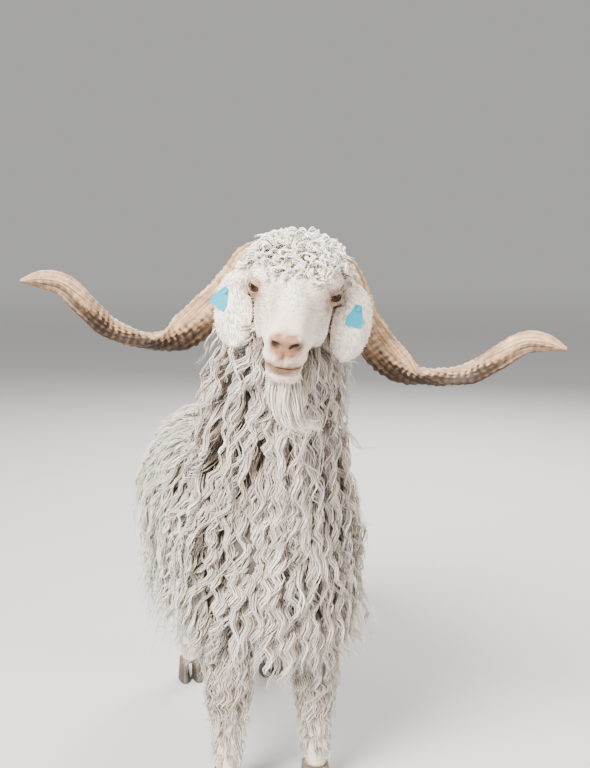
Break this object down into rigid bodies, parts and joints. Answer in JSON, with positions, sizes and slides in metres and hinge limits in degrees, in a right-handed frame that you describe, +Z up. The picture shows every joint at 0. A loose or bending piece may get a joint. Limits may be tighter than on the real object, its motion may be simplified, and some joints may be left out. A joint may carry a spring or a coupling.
{
  "type": "angora goat",
  "caption": "Still life-size Angora goat, a mature buck standing on four feet with its head held high, long twisted horns, hanging ears with tags and a long wavy fleece",
  "frame": {"origin": "on the floor, below the centre of the whole goat's box", "axes": "+Z up, the head toward -Y and the tail toward +Y, the goat's left side +X"},
  "size_m": [0.9936, 1.212, 1.2031],
  "materials": {
    "fleece": "long wavy cream mohair with a soft lustre",
    "face": "short flat white hair over pink skin",
    "eye": "wet amber eye with a wide flat pupil",
    "horn": "ringed tan horn with darker brown streaks",
    "hoof": "dull dark hoof horn",
    "ear_tag": "plain cyan moulded tag"
  },
  "bodies": {
    "root": {"torso": "fleece", "neck": "fleece", "tail": "fleece", "foreleg_left": "fleece", "foreleg_right": "fleece", "hindleg_left": "fleece", "hindleg_right": "fleece", "head": "face", "ear_left": "face", "ear_right": "face", "eye_left": "eye", "eye_right": "eye", "horn_left": "horn", "horn_right": "horn", "hoof_fore_left": "hoof", "hoof_fore_right": "hoof", "hoof_hind_left": "hoof", "hoof_hind_right": "hoof", "ear_tag_left": "ear_tag", "ear_tag_right": "ear_tag"}
  },
  "joints": []
}
